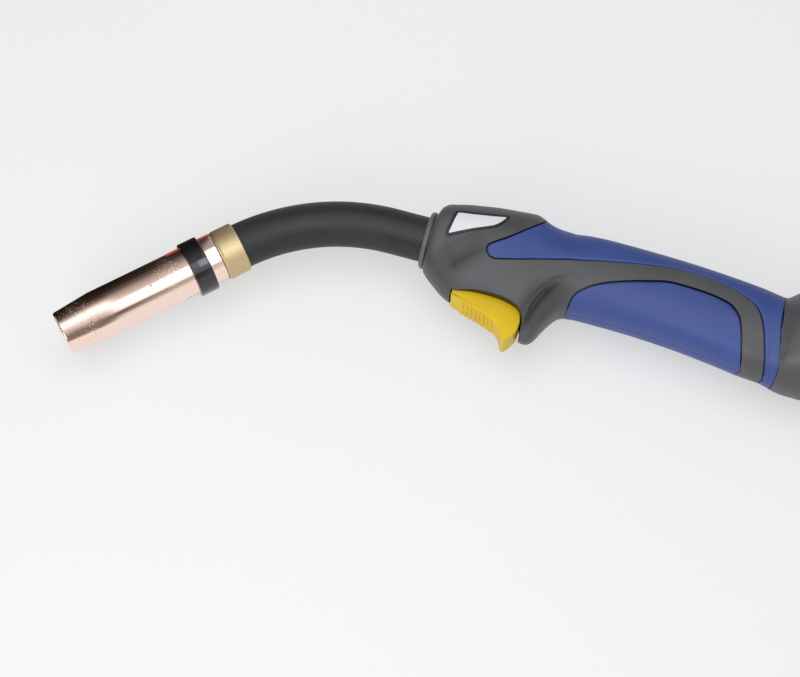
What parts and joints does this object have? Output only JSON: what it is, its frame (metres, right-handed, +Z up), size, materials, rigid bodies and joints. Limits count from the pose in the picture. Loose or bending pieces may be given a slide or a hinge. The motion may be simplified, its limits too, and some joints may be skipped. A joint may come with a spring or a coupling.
{
  "type": "mig welding torch",
  "caption": "Water-cooled MIG welding torch: copper gas nozzle on a bent neck, two-shell handle with soft grips, lever trigger on a snap switch, ball swivel for the hose package.",
  "frame": {"origin": "centre of the bounding box in X and Y, at the lowest point in Z: the torch lies on its right side with its middle plane level", "axes": "+X runs back along the handle to the hose end, +Y points to the back of the hand (the trigger side is -Y), +Z is up out of the left side"},
  "size_m": [0.3728, 0.142, 0.0528],
  "materials": {
    "polished_copper": "polished, heat-tinted, with light scuffs near the taper",
    "gloss_black": "glossy",
    "copper": "bare, drawn",
    "satin_brass": "turned, satin",
    "ceramic": "off-white, matt",
    "red_insulator": "moulded, matt",
    "neck_rubber": "matt",
    "dark_grey_plastic": "fine moulded texture",
    "blue_soft_grip": "soft, satin, lightly scratched",
    "plate_white": "smooth, with a thin black border",
    "yellow_plastic": "moulded, satin",
    "black_plastic": "moulded, satin",
    "red_plastic": "glossy",
    "steel": "bright",
    "lead_insulation": "smooth",
    "connector_white": "smooth"
  },
  "bodies": {
    "handle": {"contact_tip": "copper", "tip_holder": "satin_brass", "gas_diffuser": "ceramic", "nozzle_insulator": "red_insulator", "neck_head": "satin_brass", "neck_ring": "satin_brass", "neck_sleeve": "neck_rubber", "conductor_tube": "copper", "water_feed_tube": "copper", "water_return_tube": "copper", "wire_liner": "steel", "neck_collar": "dark_grey_plastic", "handle_left": "dark_grey_plastic", "handle_right": "dark_grey_plastic", "upper_grip_left": "blue_soft_grip", "upper_grip_right": "blue_soft_grip", "lower_grip_left": "blue_soft_grip", "lower_grip_right": "blue_soft_grip", "rating_plate": "plate_white", "handle_screws": "steel", "trigger_pin": "steel", "trigger_spring": "steel", "switch_body": "black_plastic", "switch_terminals": "satin_brass", "switch_leads": "lead_insulation", "lead_connector": "connector_white", "connector_block": "satin_brass", "water_barbs": "satin_brass", "conduit_nut": "satin_brass"},
    "nozzle": {"nozzle": "polished_copper", "nozzle_clamp_ring": "gloss_black"},
    "trigger": {"trigger": "yellow_plastic"},
    "plunger": {"switch_plunger": "red_plastic"},
    "swivel_ring": {"ball_seat_front": "black_plastic", "ball_seat_rear": "black_plastic"},
    "swivel_ball": {"swivel_ball": "dark_grey_plastic"}
  },
  "joints": [
    {"name": "trigger_pull", "type": "hinge", "parent": "handle", "child": "trigger", "pos_m": [-0.00807, 0.02089, 0.0264], "axis": [0, 0, 1], "range_deg": [0, 4], "stiffness_Nm_per_rad": 1, "springref_deg": -6.88, "deforming": ["trigger_spring"]},
    {"name": "switch_press", "type": "slide", "parent": "handle", "child": "plunger", "axis": [0, 1, 0], "range_m": [0, 0.0012]},
    {"name": "nozzle_pull", "type": "slide", "parent": "handle", "child": "nozzle", "axis": [-0.6626, -0.749, 0], "range_m": [0, 0.08]},
    {"name": "swivel_spin", "type": "hinge", "parent": "handle", "child": "swivel_ring", "pos_m": [0.15543, 0.04539, 0.0264], "axis": [1, 0, 0], "continuous": true},
    {"name": "swivel_tilt", "type": "hinge", "parent": "swivel_ring", "child": "swivel_ball", "pos_m": [0.15543, 0.04539, 0.0264], "axis": [0, 0, 1], "range_deg": [-15, 15]}
  ],
  "couplings": [
    {"joint": "switch_press", "follows": "trigger_pull", "m_per_rad": 0.016}
  ]
}
